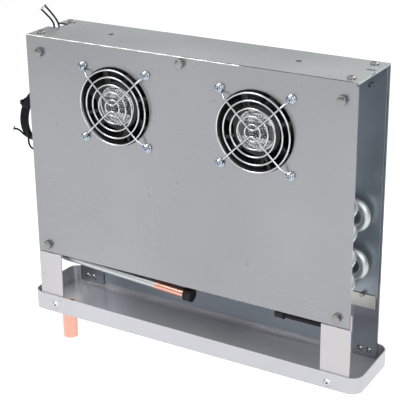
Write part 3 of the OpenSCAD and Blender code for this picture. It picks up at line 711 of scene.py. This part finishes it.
def edge_line(name, x0, x1, y, z, radius, material):
    """A thin, slightly uneven wire that runs to the right along the casing's edge."""
    bm = bmesh.new()
    count = max(2, int(abs(x1 - x0) / KNOT_EVERY))
    wobble = WOBBLE_SHARE * radius
    sweep(bm, [Vector((x0 + (x1 - x0) * i / count, y + wobble * math.sin(i * 1.9),
                       z + wobble * math.sin(i * 2.7))) for i in range(count + 1)], radius)
    bmesh.ops.recalc_face_normals(bm, faces=bm.faces)
    new_piece(name, bm, material, "casing")
    print(name, round((x1 - x0) / MM, 1), "mm long")


# painted highlight: a bright wire along the panel's top front edge stands for the light on its
# rounded bend
edge_line("panel_edge_highlight", panel_low.x + HIGHLIGHT_FROM, HIGHLIGHT_END, panel_low.y + HIGHLIGHT_IN,
          panel_high.z - HIGHLIGHT_DOWN, HIGHLIGHT_R, FINISHES["edge_highlight"])
# painted shadow: near-black wires in the fan body's finish stand for the shade in the gap between
# panel and top plate
for name, x0, x1 in SHADED_SEAMS:
    edge_line(name, x0, x1, panel_high.y + SEAM_IN, panel_high.z - SEAM_IN, SEAM_SHADE_R,
              FINISHES["fan_body"])

# %% [markdown]
# A blind rivet is hollow where the broken end of its pulling pin sits, and that hole lies in shade
# as a dark dot in the middle of the head. The dot is painted shade: a small near-black tapered
# disc, a hair proud of the head.
# %% Painted shade in the rivet holes
HOLE_SHADE_R, HOLE_SHADE_DEPTH, HOLE_SHADE_PROUD = 1.3 * MM, 0.6 * MM, 0.05 * MM
HOLE_SHADE_TAPER, HOLE_SHADE_SIDES = 0.8, 20
LAID_FLAT = Matrix.Rotation(math.radians(90), 4, "X")


def loose_centres(node):
    """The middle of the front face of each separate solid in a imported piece."""
    bm = bmesh.new()
    bm.from_mesh(frame["nodes"][node].data)
    bmesh.ops.remove_doubles(bm, verts=bm.verts, dist=MERGE)
    left, out = set(bm.verts), []
    while left:
        island, to_visit = set(), [next(iter(left))]
        while to_visit:
            vert = to_visit.pop()
            if vert not in island:
                island.add(vert)
                to_visit += [e.other_vert(vert) for e in vert.link_edges]
        left -= island
        low = [min(v.co[k] for v in island) for k in range(3)]
        high = [max(v.co[k] for v in island) for k in range(3)]
        out.append(Vector(((low[0] + high[0]) / 2, low[1], (low[2] + high[2]) / 2)))
    bm.free()
    return sorted(out, key=lambda c: c.x)


for node in ("pan_rivets", "rear_leg_rivets"):
    bm = bmesh.new()
    spots = loose_centres(node)
    for spot in spots:
        place = spot + Vector((0, HOLE_SHADE_DEPTH / 2 - HOLE_SHADE_PROUD, 0))
        bmesh.ops.create_cone(bm, cap_ends=True, segments=HOLE_SHADE_SIDES, radius1=HOLE_SHADE_R,
                              radius2=HOLE_SHADE_R * HOLE_SHADE_TAPER, depth=HOLE_SHADE_DEPTH,
                              matrix=Matrix.Translation(place) @ LAID_FLAT)
    # painted shade: the discs take the fan body's near-black finish
    new_piece(node + "_hole_shade", bm, FINISHES["fan_body"], "casing")
    print(node, "pins made:", len(spots))


# %% [markdown]
# The set is a wide pale floor well below the unit, a bright sky that darkens towards the
# horizon, and three large soft lamps. Bright metal shows what stands round it, and the
# dark band low in the sky draws the edges of wires, tubes and screw heads.
# %% Floor
FLOOR_HALF, FLOOR_DROP = 12.0, 0.30
bm = bmesh.new()
bmesh.ops.create_grid(bm, x_segments=2, y_segments=2, size=FLOOR_HALF)
bmesh.ops.translate(bm, verts=bm.verts, vec=(0, 0, cad_box[0][2] - FLOOR_DROP))
floor_mesh = bpy.data.meshes.new("floor")
bm.to_mesh(floor_mesh)
bm.free()
floor = bpy.data.objects.new("floor", floor_mesh)
bpy.context.scene.collection.objects.link(floor)
floor_paint = skin_finish("floor paint", (0.93, 0.93, 0.93), 0.9, dust=0.0, relief=0.0)
floor_mesh.materials.append(floor_paint)
print("floor", FLOOR_DROP, "m below the drain stub")

# %% Lamps
LAMP_AIM = Vector((0, 0, -0.15))


def soft_lamp(name, place, size, power):
    light = bpy.data.lights.new(name, "AREA")
    light.shape = "SQUARE"
    light.size = size
    light.energy = power
    lamp = bpy.data.objects.new(name, light)
    bpy.context.scene.collection.objects.link(lamp)
    lamp.matrix_world = Matrix.Translation(place) @ (
        LAMP_AIM - Vector(place)).to_track_quat("-Z", "Y").to_matrix().to_4x4()
    print(name, power, "W")


soft_lamp("key lamp", (-1.2, -1.6, 1.9), 1.6, 46.0)
soft_lamp("fill lamp", (1.9, -1.3, 0.9), 1.8, 24.0)
soft_lamp("back lamp", (0.3, 1.9, 1.7), 1.6, 22.0)

# %% Sky
DARK_BAND, BRIGHT_SKY, SKY_BLUE = 0.16, 1.0, 1.01
BAND_TOP, BRIGHT_FROM = 0.60, 0.74
world = bpy.data.worlds.new("studio")
bpy.context.scene.world = world
world.use_nodes = True
sky = world.node_tree
sky_place = sky.nodes.new("ShaderNodeTexCoord")
sky_split = sky.nodes.new("ShaderNodeSeparateXYZ")
sky_ramp = sky.nodes.new("ShaderNodeValToRGB")
sky_ramp.color_ramp.interpolation = "EASE"
for stop, shade, level in zip(sky_ramp.color_ramp.elements, (DARK_BAND, BRIGHT_SKY),
                              (BAND_TOP, BRIGHT_FROM)):
    stop.color = (shade, shade, shade * SKY_BLUE, 1.0)
    stop.position = level
height = math_node(sky, "MULTIPLY_ADD", sky_split.outputs["Z"], 0.5, 0.5)
join(sky, (sky_place.outputs["Generated"], sky_split.inputs[0]),
     (height, sky_ramp.inputs["Fac"]),
     (sky_ramp.outputs["Color"], sky.nodes["Background"].inputs["Color"]))
sky.nodes["Background"].inputs["Strength"].default_value = 1.0
bpy.context.scene.view_settings.view_transform = "Standard"
